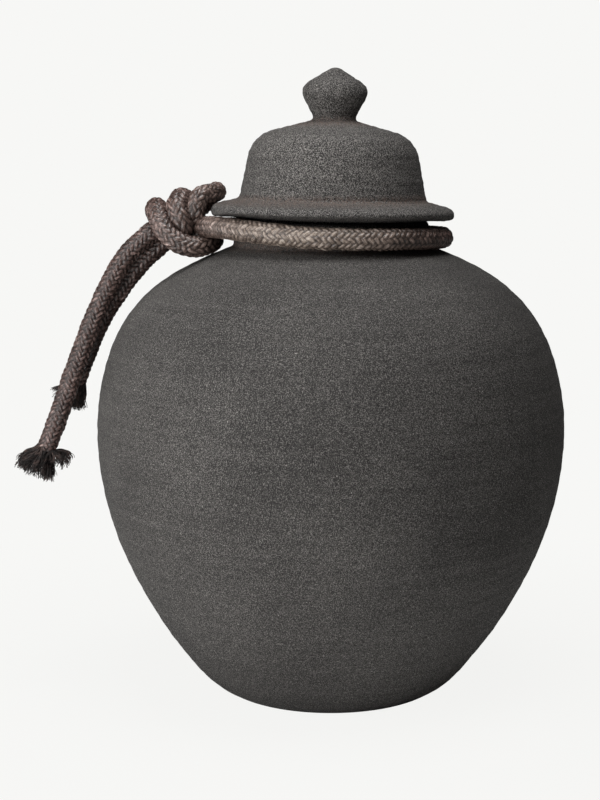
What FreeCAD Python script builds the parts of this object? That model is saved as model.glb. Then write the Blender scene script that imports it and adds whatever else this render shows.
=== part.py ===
"""A lidded stoneware urn with a braided cord knotted round its neck.

The urn and its lid are each one thrown and fired piece. The cord is one length of rope: a turn
round the neck, a knot at the left, and two tails with frayed ends that hang beside the belly.
Millimetres, +Z up, with the origin at the centre of the base. The view from -Y is the front.
"""

import FreeCAD, Part
import math
import os
import Sketcher
from FreeCAD import Placement, Rotation, Vector

os.makedirs("parts", exist_ok=True)
doc = FreeCAD.newDocument("urn")

SIZES = {
    # The urn, with its widest point at the belly and the neck's root above that
    "foot_radius": 50.4,
    "belly_radius": 111.3,
    "belly_height": 126.4,
    "shoulder_rise": 86.9,
    "neck_radius": 46.0,
    "urn_wall": 6.5,
    "neck_wall": 6.0,
    "floor_thickness": 8.0,
    "foot_round": 1.2,
    "rim_round": 2.2,
    "neck_cove": 2.0,
    # The lid, from the flat underside of its brim
    "brim_overhang": 11.4,
    "brim_tip_height": 2.4,
    "brim_top_round": 3.6,
    "crease_inset": 1.8,
    "crease_height": 8.5,
    "crease_cove": 2.5,
    "dome_inset": 5.6,
    "dome_wall_height": 28.0,
    "dome_round": 16.0,
    "crown_slope": 15.0,
    "lid_wall": 5.5,
    "collar_depth": 7.0,
    "collar_wall": 4.5,
    "collar_clearance": 2.2,
    "collar_round": 1.5,
    "knob_waist_radius": 9.2,
    "knob_radius": 15.2,
    "knob_middle_height": 58.3,
    "knob_round": 5.5,
    "knob_cove": 2.0,
    "tip_round": 5.5,
    "lid_height": 69.8,
    "lid_lean": 1.6,
    "lid_shift": 0.5,
    "seat_gap": 0.2,
    # The cord
    "rope_diameter": 9.6,
    "knot_rope_diameter": 9.2,
    "rope_neck_gap": 2.0,
    "rope_seat_gap": 0.2,
    "rope_lid_gap": 1.8,
    "rope_lean": 2.8,
    "rope_lean_azimuth": 180.0,
    "knot_reach": 7.2,
    "knot_half_spread": 10.5,
    "knot_stub": 12.0,
    "fray_length": 15.5,
    "fray_radius": 11.5,
    "short_fray_length": 13.0,
    "short_fray_radius": 7.2,
}

# The stations that the urn's curves pass through between those sizes, and the lid's own radii
FOLLOWING = {
    "ankle_radius": "=foot_radius + 0.2315 * (belly_radius - foot_radius)",
    "ankle_height": "=0.0839 * belly_height",
    "waist_radius": "=foot_radius + 0.7997 * (belly_radius - foot_radius)",
    "waist_height": "=0.5269 * belly_height",
    "breast_radius": "=neck_radius + 0.9066 * (belly_radius - neck_radius)",
    "breast_height": "=belly_height + 0.4177 * shoulder_rise",
    "shoulder_radius": "=neck_radius + 0.4227 * (belly_radius - neck_radius)",
    "shoulder_height": "=belly_height + 0.855 * shoulder_rise",
    "neck_root_height": "=belly_height + shoulder_rise",
    "brim_radius": "=neck_radius + brim_overhang",
    "crease_radius": "=neck_radius - crease_inset",
    "dome_radius": "=neck_radius - dome_inset",
}

sheet = doc.addObject("Spreadsheet::Sheet", "Sizes")


def add_sizes(sizes, first_row):
    for row, (alias, content) in enumerate(sizes.items(), first_row):
        sheet.set(f"A{row}", alias)
        sheet.set(f"B{row}", str(content))
        sheet.setAlias(f"B{row}", alias)
    doc.recompute()


add_sizes(SIZES, 1)
add_sizes(FOLLOWING, len(SIZES) + 1)


def size(alias):
    """A size as the sheet holds it, in millimetres or degrees."""
    return float(sheet.get(alias))


def arc_through(start, direction, stop):
    """Centre and radius of the arc that leaves start along direction and ends at stop."""
    normal = Vector(-direction.y, direction.x, 0)
    chord = stop - start
    signed_radius = chord.dot(chord) / (2 * chord.dot(normal))
    return start + normal * signed_radius, abs(signed_radius)


def arc_chain(start, direction, stops):
    """The arcs from start through each stop in turn, every one tangent to the one before it."""
    arcs = []
    for stop in stops:
        centre, radius = arc_through(start, direction, stop)
        arcs.append((centre, radius, start, stop))
        side = 1 if (start - centre).cross(direction).z > 0 else -1
        spoke = (stop - centre).normalize()
        direction = Vector(-spoke.y, spoke.x, 0) * side
        start = stop
    return arcs


class Outline:
    """A closed sketch, drawn edge by edge, with its sizes bound to the sheet."""

    def __init__(self, body, name):
        self.sketch = body.newObject("Sketcher::SketchObject", name)
        plane = next(f for f in body.Origin.OriginFeatures if f.Role == "XZ_Plane")
        self.sketch.AttachmentSupport = [(plane, "")]
        self.sketch.MapMode = "FlatFace"
        self.ends = []

    def line(self, start, stop):
        index = self.sketch.addGeometry(Part.LineSegment(start, stop), False)
        self.ends.append((1, 2))
        return index

    def arc(self, centre, radius, start, stop):
        from_angle = math.atan2(start.y - centre.y, start.x - centre.x)
        to_angle = math.atan2(stop.y - centre.y, stop.x - centre.x)
        turn = (to_angle - from_angle) % (2 * math.pi)
        anticlockwise = turn < math.pi
        if not anticlockwise:
            from_angle, to_angle = to_angle, from_angle
        circle = Part.Circle(centre, Vector(0, 0, 1), radius)
        index = self.sketch.addGeometry(Part.ArcOfCircle(circle, from_angle, to_angle), False)
        self.ends.append((1, 2) if anticlockwise else (2, 1))
        return index

    def start(self, edge):
        return edge, self.ends[edge][0]

    def stop(self, edge):
        return edge, self.ends[edge][1]

    def rule(self, kind, *where):
        return self.sketch.addConstraint(Sketcher.Constraint(kind, *where))

    def corner(self, edge, following):
        self.rule("Coincident", *self.stop(edge), *self.start(following))

    def smooth(self, edge, following):
        self.rule("Tangent", *self.stop(edge), *self.start(following))

    def bind(self, name, expression, kind, *where):
        """Adds one dimension, and ties it to the sheet."""
        value = float(self.sketch.evalExpression(expression))
        index = self.rule(kind, *where, math.radians(value) if kind == "Angle" else value)
        self.sketch.renameConstraint(index, name)
        self.sketch.setExpression("Constraints." + name, expression)

    def across(self, name, expression, point):
        self.bind(name, expression, "DistanceX", -1, 1, *point)

    def above(self, name, expression, point):
        self.bind(name, expression, "DistanceY", -1, 1, *point)

    def below(self, name, expression, point):
        self.bind(name, expression, "DistanceY", *point, -1, 1)

    def heading(self, name, expression, edge):
        """The direction in which a line was drawn, in degrees from outward to upward."""
        self.bind(name, expression, "Angle", edge)


def revolve(body, outline, name):
    """The outline turned once about its own upright axis."""
    solid = body.newObject("PartDesign::Revolution", name)
    solid.Profile = outline.sketch
    solid.ReferenceAxis = (outline.sketch, ["V_Axis"])
    solid.Angle = 360
    outline.sketch.Visibility = False
    doc.recompute()
    return solid


def circle_edge(feature, radius, height):
    """The name of the feature's round edge of that radius at that height."""
    for index, edge in enumerate(feature.Shape.Edges, 1):
        if edge.Degenerated or not isinstance(edge.Curve, Part.Circle):
            continue
        if abs(edge.Curve.Radius - radius) < 0.01 and abs(edge.Curve.Center.z - height) < 0.01:
            return f"Edge{index}"
    raise ValueError(f"no round edge of radius {radius} at height {height} on {feature.Label}")


def soften(body, name, edges, alias):
    """Rounds the named edges of the body's last feature by a size from the sheet."""
    base = body.Tip
    fillet = body.newObject("PartDesign::Fillet", name)
    fillet.Base = (base, edges)
    fillet.setExpression("Radius", "Sizes." + alias)
    doc.recompute()
    return fillet


def urn_arcs():
    """The urn's outer arcs from foot to neck, as (centre, radius, lower end, upper end)."""
    foot = Vector(size("foot_radius"), 0, 0)
    ankle = Vector(size("ankle_radius"), size("ankle_height"), 0)
    waist = Vector(size("waist_radius"), size("waist_height"), 0)
    belly = Vector(size("belly_radius"), size("belly_height"), 0)
    breast = Vector(size("breast_radius"), size("breast_height"), 0)
    shoulder = Vector(size("shoulder_radius"), size("shoulder_height"), 0)
    neck_root = Vector(size("neck_radius"), size("neck_root_height"), 0)
    down = arc_chain(belly, Vector(0, -1, 0), [waist, ankle, foot])
    up = arc_chain(belly, Vector(0, 1, 0), [breast, shoulder, neck_root])
    return [(c, r, stop, start) for c, r, start, stop in reversed(down)] + up


def neck_ring():
    """The radius and the leaning plane of the cord's turn round the neck. At its low side, the
    cord just lies on the shoulder."""
    ring_radius = size("neck_radius") + size("rope_neck_gap") + size("rope_diameter") / 2
    centre, radius, _, _ = urn_arcs()[-1]
    away = radius + size("rope_diameter") / 2 + size("rope_seat_gap")
    low = centre.y + math.sqrt(away**2 - (ring_radius - centre.x) ** 2)
    uphill = math.radians(size("rope_lean_azimuth"))
    turn = Rotation(Vector(math.sin(uphill), -math.cos(uphill), 0), size("rope_lean"))
    lift = ring_radius * math.sin(math.radians(size("rope_lean")))
    return ring_radius, Placement(Vector(0, 0, low + lift), turn)


def lid_heights():
    """The height of the leaning lid's underside at the axis, which clears the cord all round, and
    that of the rim, on whose low side the lid rests."""
    ring_radius, plane = neck_ring()
    lid_slope = math.tan(math.radians(size("lid_lean")))
    rope_slope = math.tan(math.radians(size("rope_lean")))
    uphill = math.radians(size("rope_lean_azimuth"))
    rope_rise = Vector(math.cos(uphill), math.sin(uphill), 0) * rope_slope * ring_radius
    lid_rise = Vector(-lid_slope * ring_radius, 0, 0)
    closest = plane.Base.z + size("rope_diameter") / 2 + (rope_rise - lid_rise).Length
    seat = closest + size("rope_lid_gap")
    rim_flat = size("neck_radius") - size("rim_round") - size("lid_shift")
    return {"lid_seat": seat, "rim_height": seat - size("seat_gap") - rim_flat * lid_slope}


add_sizes(lid_heights(), len(SIZES) + len(FOLLOWING) + 1)


def make_urn_body():
    """The thrown jar: belly, shoulder and upright neck, hollow, with an even wall."""
    body = doc.addObject("PartDesign::Body", "urn_body")
    outline = Outline(body, "urn_outline")
    wall = size("urn_wall")
    rim = size("rim_height")
    bore = size("neck_radius") - size("neck_wall")
    floor = size("floor_thickness")
    arcs = urn_arcs()
    base = outline.line(Vector(0, 0, 0), arcs[0][2])
    outer = [outline.arc(*arc) for arc in arcs]
    neck = outline.line(arcs[-1][3], Vector(size("neck_radius"), rim, 0))
    top = outline.line(Vector(size("neck_radius"), rim, 0), Vector(bore, rim, 0))

    inner_ends = []
    for centre, radius, start, stop in arcs:
        shrink = (radius - wall) / radius
        inner_ends.append([centre + (start - centre) * shrink, centre + (stop - centre) * shrink])
    low_centre, low_radius = arcs[0][0], arcs[0][1] - wall
    inner_ends[0][0] = Vector(
        low_centre.x + math.sqrt(low_radius**2 - (floor - low_centre.y) ** 2), floor, 0
    )
    high_centre, high_radius = arcs[-1][0], arcs[-1][1] - wall
    inner_ends[-1][1] = Vector(
        bore, high_centre.y + math.sqrt(high_radius**2 - (bore - high_centre.x) ** 2), 0
    )
    mouth = outline.line(Vector(bore, rim, 0), inner_ends[-1][1])
    inner = []
    for (centre, radius, _, _), (start, stop) in reversed(list(zip(arcs, inner_ends))):
        inner.append(outline.arc(centre, radius - wall, stop, start))
    bottom = outline.line(inner_ends[0][0], Vector(0, floor, 0))
    axis = outline.line(Vector(0, floor, 0), Vector(0, 0, 0))

    outline.rule("Coincident", *outline.start(base), -1, 1)
    outline.corner(base, outer[0])
    outline.rule("Horizontal", base)
    for lower, upper in zip(outer, outer[1:]):
        outline.smooth(lower, upper)
    outline.rule("Horizontal", outer[2], 3, *outline.stop(outer[2]))
    outline.corner(outer[-1], neck)
    outline.rule("Vertical", neck)
    outline.corner(neck, top)
    outline.rule("Horizontal", top)
    outline.corner(top, mouth)
    outline.rule("Vertical", mouth)
    outline.corner(mouth, inner[0])
    for upper, lower in zip(inner, inner[1:]):
        outline.smooth(upper, lower)
    for outside, inside in zip(outer, reversed(inner)):
        outline.rule("Coincident", outside, 3, inside, 3)
    outline.corner(inner[-1], bottom)
    outline.rule("Horizontal", bottom)
    outline.rule("PointOnObject", *outline.stop(bottom), -2)
    outline.corner(bottom, axis)
    outline.rule("Coincident", *outline.stop(axis), -1, 1)

    outline.across("foot_radius", "Sizes.foot_radius", outline.start(outer[0]))
    stations = ("ankle", "waist", "belly", "breast", "shoulder")
    for edge, station in zip(outer, stations):
        outline.across(station + "_radius", f"Sizes.{station}_radius", outline.stop(edge))
        outline.above(station + "_height", f"Sizes.{station}_height", outline.stop(edge))
    outline.across("neck_radius", "Sizes.neck_radius", outline.stop(outer[-1]))
    outline.above("neck_root_height", "Sizes.neck_root_height", outline.stop(outer[-1]))
    outline.above("rim_height", "Sizes.rim_height", outline.stop(neck))
    outline.across("bore", "Sizes.neck_radius - Sizes.neck_wall", outline.stop(top))
    outline.across("belly_inside", "Sizes.belly_radius - Sizes.urn_wall", outline.start(inner[3]))
    outline.above("floor", "Sizes.floor_thickness", outline.stop(inner[-1]))

    turned = revolve(body, outline, "thrown_jar")
    foot_edge = circle_edge(turned, size("foot_radius"), 0)
    soften(body, "foot_edge", [foot_edge], "foot_round")
    rim_edges = [
        circle_edge(body.Tip, size("neck_radius"), rim),
        circle_edge(body.Tip, bore, rim),
    ]
    soften(body, "rim_edges", rim_edges, "rim_round")
    cove = circle_edge(body.Tip, size("neck_radius"), size("neck_root_height"))
    soften(body, "neck_cove", [cove], "neck_cove")
    return body


def make_lid():
    """The lid: a flat brim with a thick round edge, a steep dome, a pointed knob, and the collar
    below that keeps it in the mouth. It leans a little, its left brim over the cord."""
    body = doc.addObject("PartDesign::Body", "lid")
    outline = Outline(body, "lid_outline")
    wall = size("lid_wall")
    slope = math.radians(size("crown_slope"))
    collar_outer = size("neck_radius") - size("neck_wall") - size("collar_clearance")
    collar_inner = collar_outer - size("collar_wall")
    crease = Vector(size("crease_radius"), size("crease_height"), 0)
    wall_top = Vector(size("dome_radius"), size("dome_wall_height"), 0)
    batter = (wall_top - crease).normalize()
    inward = Vector(-batter.y, batter.x, 0)
    dome_centre = wall_top + inward * size("dome_round")
    crown_out = Vector(math.sin(slope), math.cos(slope), 0)
    crown_start = dome_centre + crown_out * size("dome_round")
    crown_run = Vector(-math.cos(slope), math.sin(slope), 0)

    tip = Vector(size("brim_radius"), size("brim_tip_height"), 0)
    low_round = size("brim_tip_height")
    low_centre = Vector(tip.x - low_round, tip.y, 0)
    high_round = size("brim_top_round")
    high_centre = Vector(tip.x - high_round, tip.y, 0)
    reach = (crease - high_centre).Length
    lift = math.atan2(crease.y - high_centre.y, crease.x - high_centre.x)
    touch_angle = lift - math.acos(high_round / reach)
    brim_touch = high_centre + Vector(math.cos(touch_angle), math.sin(touch_angle), 0) * high_round

    crown_length = (crown_start.x - size("knob_waist_radius")) / math.cos(slope)
    knob_foot = crown_start + crown_run * crown_length
    knob_round = size("knob_round")
    knob_centre = Vector(size("knob_radius") - knob_round, size("knob_middle_height"), 0)
    to_knob = knob_centre - knob_foot
    flare = math.atan2(to_knob.y, to_knob.x) - math.asin(knob_round / to_knob.Length)
    knob_low = knob_centre + Vector(math.sin(flare), -math.cos(flare), 0) * knob_round
    tip_round = size("tip_round")
    tip_centre = Vector(0, size("lid_height") - tip_round, 0)
    to_tip = tip_centre - knob_centre
    shoulder_angle = math.atan2(to_tip.y, to_tip.x) - math.pi / 2
    shoulder_angle += math.asin((tip_round - knob_round) / to_tip.Length)
    shoulder_out = Vector(math.cos(shoulder_angle), math.sin(shoulder_angle), 0)
    knob_high = knob_centre + shoulder_out * knob_round
    tip_low = tip_centre + shoulder_out * tip_round

    inner_round = size("dome_round") - wall
    inner_crown_start = dome_centre + crown_out * inner_round
    inner_crown_stop = inner_crown_start + crown_run * (inner_crown_start.x / math.cos(slope))
    collar_in = Vector(collar_inner, -size("collar_depth"), 0)
    collar_out = Vector(collar_outer, -size("collar_depth"), 0)
    collar_root = Vector(collar_outer, 0, 0)
    to_collar = collar_in - dome_centre
    touch_angle = math.atan2(to_collar.y, to_collar.x) + math.acos(inner_round / to_collar.Length)
    inner_touch = dome_centre + Vector(math.cos(touch_angle), math.sin(touch_angle), 0) * inner_round
    top = Vector(0, size("lid_height"), 0)
    brim_low = Vector(low_centre.x, 0, 0)

    crown_in = outline.line(inner_crown_stop, inner_crown_start)
    round_in = outline.arc(dome_centre, inner_round, inner_crown_start, inner_touch)
    wall_in = outline.line(inner_touch, collar_in)
    collar_base = outline.line(collar_in, collar_out)
    collar_side = outline.line(collar_out, collar_root)
    underside = outline.line(collar_root, brim_low)
    low_edge = outline.arc(low_centre, low_round, brim_low, tip)
    high_edge = outline.arc(high_centre, high_round, tip, brim_touch)
    brim_top = outline.line(brim_touch, crease)
    dome_wall = outline.line(crease, wall_top)
    dome = outline.arc(dome_centre, size("dome_round"), wall_top, crown_start)
    crown = outline.line(crown_start, knob_foot)
    flare_run = outline.line(knob_foot, knob_low)
    equator = outline.arc(knob_centre, knob_round, knob_low, knob_high)
    cap = outline.line(knob_high, tip_low)
    tip_arc = outline.arc(tip_centre, tip_round, tip_low, top)
    axis = outline.line(top, inner_crown_stop)

    outline.rule("PointOnObject", *outline.start(crown_in), -2)
    outline.rule("Parallel", crown_in, crown)
    outline.smooth(crown_in, round_in)
    outline.smooth(round_in, wall_in)
    outline.corner(wall_in, collar_base)
    outline.rule("Horizontal", collar_base)
    outline.corner(collar_base, collar_side)
    outline.rule("Vertical", collar_side)
    outline.corner(collar_side, underside)
    outline.rule("Horizontal", underside)
    outline.rule("PointOnObject", *outline.start(underside), -1)
    outline.smooth(underside, low_edge)
    outline.smooth(low_edge, high_edge)
    outline.rule("Horizontal", low_edge, 3, *outline.stop(low_edge))
    outline.smooth(high_edge, brim_top)
    outline.corner(brim_top, dome_wall)
    outline.smooth(dome_wall, dome)
    outline.smooth(dome, crown)
    outline.corner(crown, flare_run)
    outline.smooth(flare_run, equator)
    outline.smooth(equator, cap)
    outline.smooth(cap, tip_arc)
    outline.rule("PointOnObject", tip_arc, 3, -2)
    outline.rule("PointOnObject", *outline.stop(tip_arc), -2)
    outline.corner(tip_arc, axis)
    outline.corner(axis, crown_in)
    outline.rule("Coincident", round_in, 3, dome, 3)

    mouth = "Sizes.neck_radius - Sizes.neck_wall - Sizes.collar_clearance"
    outline.across("collar_outer", mouth, outline.start(collar_side))
    outline.across("collar_inner", mouth + " - Sizes.collar_wall", outline.start(collar_base))
    outline.below("collar_depth", "Sizes.collar_depth", outline.start(collar_side))
    outline.across("brim_radius", "Sizes.brim_radius", outline.stop(low_edge))
    outline.above("brim_tip_height", "Sizes.brim_tip_height", outline.stop(low_edge))
    outline.bind("brim_top_round", "Sizes.brim_top_round", "Radius", high_edge)
    outline.across("crease_radius", "Sizes.crease_radius", outline.start(dome_wall))
    outline.above("crease_height", "Sizes.crease_height", outline.start(dome_wall))
    outline.across("dome_radius", "Sizes.dome_radius", outline.stop(dome_wall))
    outline.above("dome_wall_height", "Sizes.dome_wall_height", outline.stop(dome_wall))
    outline.bind("dome_round", "Sizes.dome_round", "Radius", dome)
    outline.bind("inner_round", "Sizes.dome_round - Sizes.lid_wall", "Radius", round_in)
    outline.heading("crown_heading", "180 - Sizes.crown_slope", crown)
    outline.across("knob_waist_radius", "Sizes.knob_waist_radius", outline.start(flare_run))
    outline.bind("knob_round", "Sizes.knob_round", "Radius", equator)
    outline.across("knob_centre", "Sizes.knob_radius - Sizes.knob_round", (equator, 3))
    outline.above("knob_middle_height", "Sizes.knob_middle_height", (equator, 3))
    outline.bind("tip_round", "Sizes.tip_round", "Radius", tip_arc)
    outline.above("lid_height", "Sizes.lid_height", outline.stop(tip_arc))

    turned = revolve(body, outline, "turned_lid")
    soften(body, "crease", [circle_edge(turned, crease.x, crease.y)], "crease_cove")
    soften(body, "knob_foot", [circle_edge(body.Tip, knob_foot.x, knob_foot.y)], "knob_cove")
    collar_edges = [
        circle_edge(body.Tip, collar_out.x, collar_out.y),
        circle_edge(body.Tip, collar_in.x, collar_in.y),
    ]
    soften(body, "collar_edges", collar_edges, "collar_round")

    turn = Rotation(Vector(0, 1, 0), size("lid_lean"))
    body.Placement = Placement(Vector(size("lid_shift"), 0, size("lid_seat")), turn)
    return body


def disc(centre, direction, diameter):
    return Part.Face(Part.Wire(Part.makeCircle(diameter / 2, centre, direction)))


def tube_spans(points, diameter):
    """A rope's solids along a route, straight runs and the bends between them, with the length of
    the middle line and the radius of each bend."""
    spans = []
    radii = []
    length = 0
    here = points[0]
    for before, corner, after in zip(points, points[1:], points[2:]):
        into = (corner - before).normalize()
        out = (after - corner).normalize()
        turn = into.getAngle(out)
        cut = 0.45 * min((corner - before).Length, (after - corner).Length)
        radius = cut / math.tan(turn / 2)
        first = corner - into * cut
        axis = into.cross(out).normalize()
        centre = first + axis.cross(into) * radius
        spans.append(disc(here, into, diameter).extrude(first - here))
        spans.append(disc(first, into, diameter).revolve(centre, axis, math.degrees(turn)))
        length += (first - here).Length + radius * turn
        radii.append(radius)
        here = corner + out * cut
    last_run = points[-1] - here
    spans.append(disc(here, last_run, diameter).extrude(last_run))
    length += last_run.Length
    return spans, length, radii


def fuse(solids):
    return solids[0].multiFuse(solids[1:]).removeSplitter()


def place_solid(name, shape):
    item = doc.addObject("Part::Feature", name)
    item.Shape = shape
    return item


def knot_side(side):
    """Where the cord leaves the neck, where the knot's solid begins, and its first bend there, in
    the plane of the ring. The side is -1 at the front and 1 at the back."""
    ring_radius, _ = neck_ring()
    entry = Vector(-ring_radius - size("knot_reach"), side * size("knot_half_spread"), 0)
    back_angle = math.atan2(size("knot_half_spread"), -entry.x)
    back_angle += math.acos(ring_radius / entry.Length)
    leave = Vector(-math.cos(back_angle), side * math.sin(back_angle), 0) * ring_radius
    joint = entry - (entry - leave).normalize() * size("knot_stub")
    return leave, joint, entry


def make_neck_rope():
    """One turn round the neck, then a straight run on each side to the knot."""
    _, plane = neck_ring()
    diameter = size("rope_diameter")
    leave, joint, _ = knot_side(-1)
    far_leave, far_joint, _ = knot_side(1)
    start_angle = math.degrees(math.atan2(leave.y, leave.x))
    turn = math.degrees(math.atan2(far_leave.y, far_leave.x)) - start_angle
    near_run = disc(joint, leave - joint, diameter).extrude(leave - joint)
    round_neck = disc(leave, leave - joint, diameter).revolve(Vector(), Vector(0, 0, 1), turn)
    far_run = disc(far_leave, far_joint - far_leave, diameter).extrude(far_joint - far_leave)
    item = place_solid("neck_rope", fuse([near_run, round_neck, far_run]))
    item.Placement = plane
    return item


# The cord's route inside the knot and along the tails, from the middle of the knot's entries
FRONT_STRAND = [
    (-1.5, 1.0, -1.9),
    (-9.0, 9.5, -5.4),
    (-19.5, 13.0, -1.9),
    (-25.0, 7.5, 6.6),
    (-23.0, -2.0, 10.3),
    (-21.5, -12.0, 3.6),
    (-15.0, -15.5, -3.9),
    (-6.0, -15.5, -8.9),
    (2.0, -10.5, -7.7),
    (5.2, 0.5, -5.4),
    (1.0, 12.0, -7.5),
    (-6.0, 18.0, 0.1),
    (-12.2, 12.0, 10.6),
    (-12.2, 0.0, 14.7),
    (-12.4, -10.5, 9.7),
    (-8.0, -13.0, 0.6),
    (-10.5, -3.0, -3.9),
    (-21.5, -3.0, 0.3),
    (-30.2, -4.0, -6.9),
]
BACK_STRAND = [
    (-6.0, 10.0, 6.6),
    (-3.5, 8.5, 15.1),
    (5.0, 3.0, 18.4),
    (4.6, -5.5, 18.1),
    (-2.4, -10.5, 11.1),
    (-7.5, -2.5, 4.7),
    (-15.5, 5.0, -3.4),
    (-24.0, 5.0, -10.9),
]
LONG_TAIL = [
    (-36.29, -4.7, -11.94),
    (-46.0, -4.9, -28.4),
    (-55.0, -4.6, -48.7),
    (-64.0, -3.6, -72.1),
    (-71.2, -3.5, -92.3),
    (-76.6, -4.6, -105.9),
]
SHORT_TAIL = [
    (-29.95, 5.0, -16.15),
    (-41.2, 5.8, -29.7),
    (-50.8, 6.4, -44.9),
    (-57.9, 7.6, -60.7),
    (-63.3, 9.2, -74.7),
]


def knot_middle():
    """The middle of the cord's two entries to the knot, from which its routes are measured."""
    _, plane = neck_ring()
    return plane.multVec(Vector(knot_side(1)[2].x, 0, 0))


def route(offsets):
    return [knot_middle() + Vector(*offset) for offset in offsets]


def strand(side, offsets):
    """The route of one end of the cord through the knot, from the neck rope to its tail."""
    _, plane = neck_ring()
    _, joint, entry = knot_side(side)
    return [plane.multVec(joint), plane.multVec(entry)] + route(offsets)


def make_rope_knot():
    """Both ends of the cord, wound round each other and drawn tight into one solid."""
    diameter = size("knot_rope_diameter")
    spans = []
    for side, offsets in ((-1, FRONT_STRAND), (1, BACK_STRAND)):
        strand_spans, length, radii = tube_spans(strand(side, offsets), diameter)
        print(f"knot strand {side}: {length:.1f} mm, bends {[round(r, 1) for r in radii]}")
        spans += strand_spans
    return place_solid("rope_knot", fuse(spans))


def make_tail(name, knot_route, offsets):
    """A tail: it leaves the knot along the knot's last run and hangs to its frayed end."""
    points = route(knot_route[-1:] + offsets)
    diameter = size("rope_diameter")
    spans, length, radii = tube_spans(points, diameter)
    solid = fuse(spans)
    share = solid.Volume / (math.pi * diameter**2 / 4 * length)
    print(f"{name}: {length:.1f} mm, bends {[round(r, 1) for r in radii]}, volume {share:.4f}")
    return place_solid(name, solid)


def make_fray(name, offsets, long_alias, wide_alias):
    """The cut end of a tail, where the strands have opened into a brush."""
    body = doc.addObject("PartDesign::Body", name)
    outline = Outline(body, name + "_outline")
    length = size(long_alias)
    wide = size(wide_alias)
    rope = size("rope_diameter") / 2
    flare = length - wide
    foot = outline.line(Vector(0, 0, 0), Vector(rope, 0, 0))
    side = outline.line(Vector(rope, 0, 0), Vector(wide, flare, 0))
    crown = outline.arc(Vector(0, flare, 0), wide, Vector(wide, flare, 0), Vector(0, length, 0))
    axis = outline.line(Vector(0, length, 0), Vector(0, 0, 0))
    outline.rule("Coincident", *outline.start(foot), -1, 1)
    outline.rule("Horizontal", foot)
    outline.corner(foot, side)
    outline.corner(side, crown)
    outline.corner(crown, axis)
    outline.corner(axis, foot)
    outline.rule("PointOnObject", crown, 3, -2)
    outline.rule("PointOnObject", *outline.stop(crown), -2)
    outline.rule("Horizontal", crown, 3, *outline.start(crown))
    outline.across("rope_radius", "Sizes.rope_diameter / 2", outline.stop(foot))
    outline.across("fray_radius", "Sizes." + wide_alias, outline.start(crown))
    outline.above("fray_length", "Sizes." + long_alias, outline.stop(crown))
    revolve(body, outline, name + "_brush")
    before, end = route(offsets[-2:])
    body.Placement = Placement(end, Rotation(Vector(0, 0, 1), end - before))
    return body


make_urn_body()
make_lid()
make_neck_rope()
make_rope_knot()
make_tail("long_tail", FRONT_STRAND, LONG_TAIL)
make_tail("short_tail", BACK_STRAND, SHORT_TAIL)
make_fray("long_tail_fray", LONG_TAIL, "fray_length", "fray_radius")
make_fray("short_tail_fray", SHORT_TAIL, "short_fray_length", "short_fray_radius")
doc.recompute()

NODES = [
    "urn_body",
    "lid",
    "neck_rope",
    "rope_knot",
    "long_tail",
    "short_tail",
    "long_tail_fray",
    "short_tail_fray",
]
for item in doc.Objects:
    if "Invalid" in item.State or "Error" in item.State:
        raise RuntimeError(f"{item.Label} didn't compute: {item.State}")
for name in NODES:
    item = doc.getObject(name)
    if item.Shape.isNull() or not item.Shape.isValid() or len(item.Shape.Solids) != 1:
        raise RuntimeError(f"{name} isn't one valid solid")
    item.Shape.exportStep(f"parts/{name}.step")
    print(f"{name}: {item.Shape.Volume / 1000:.2f} cubic centimetres")
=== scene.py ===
# %% [markdown]
# # A lidded stoneware urn with a braided cord
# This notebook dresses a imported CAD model. The urn and its lid are thrown on a wheel and fired
# without a glaze, and a waxed braided cord is tied round the neck. The CAD gives every size and
# place. Blender adds what a solid model leaves out: the braid of the cord, its frayed ends, the
# marks of the potter's fingers, and the grain of the fired clay.

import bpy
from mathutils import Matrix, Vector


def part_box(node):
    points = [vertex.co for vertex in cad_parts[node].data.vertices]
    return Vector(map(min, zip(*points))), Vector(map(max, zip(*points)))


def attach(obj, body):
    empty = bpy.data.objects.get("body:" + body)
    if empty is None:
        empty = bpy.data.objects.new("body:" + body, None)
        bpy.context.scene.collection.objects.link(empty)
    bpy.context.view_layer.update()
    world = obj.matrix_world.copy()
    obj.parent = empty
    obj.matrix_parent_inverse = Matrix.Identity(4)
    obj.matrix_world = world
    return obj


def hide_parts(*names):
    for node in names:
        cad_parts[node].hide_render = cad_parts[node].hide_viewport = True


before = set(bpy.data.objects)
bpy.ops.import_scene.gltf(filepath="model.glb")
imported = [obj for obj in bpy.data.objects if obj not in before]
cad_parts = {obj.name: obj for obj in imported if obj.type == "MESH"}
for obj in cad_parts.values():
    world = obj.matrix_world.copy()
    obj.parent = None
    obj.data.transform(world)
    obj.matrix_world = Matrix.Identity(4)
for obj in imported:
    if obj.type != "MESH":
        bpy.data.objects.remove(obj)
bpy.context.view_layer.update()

import math

import bmesh
import bpy
import numpy as np
from mathutils import Matrix, Vector, noise

MM = 0.001
print("nodes:", sorted(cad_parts))

# %% [markdown]
# ## The camera
# The photograph was taken from about the height of the lid's dome, looking down a little. The
# lower edge of the foot and the two edges of the lid's brim curve as they do only from that
# height and distance, so they fix the camera. The urn stands to the right of the middle, and a
# small lens shift gives that without turning the camera.

# %% Camera
scene_collection = bpy.context.scene.collection


def put(name, data, place, target):
    """A camera or a lamp at its place, turned toward the target."""
    made = bpy.data.objects.new(name, data)
    scene_collection.objects.link(made)
    made.location = place
    made.rotation_euler = (Vector(target) - made.location).to_track_quat("-Z", "Y").to_euler()
    return made


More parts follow.
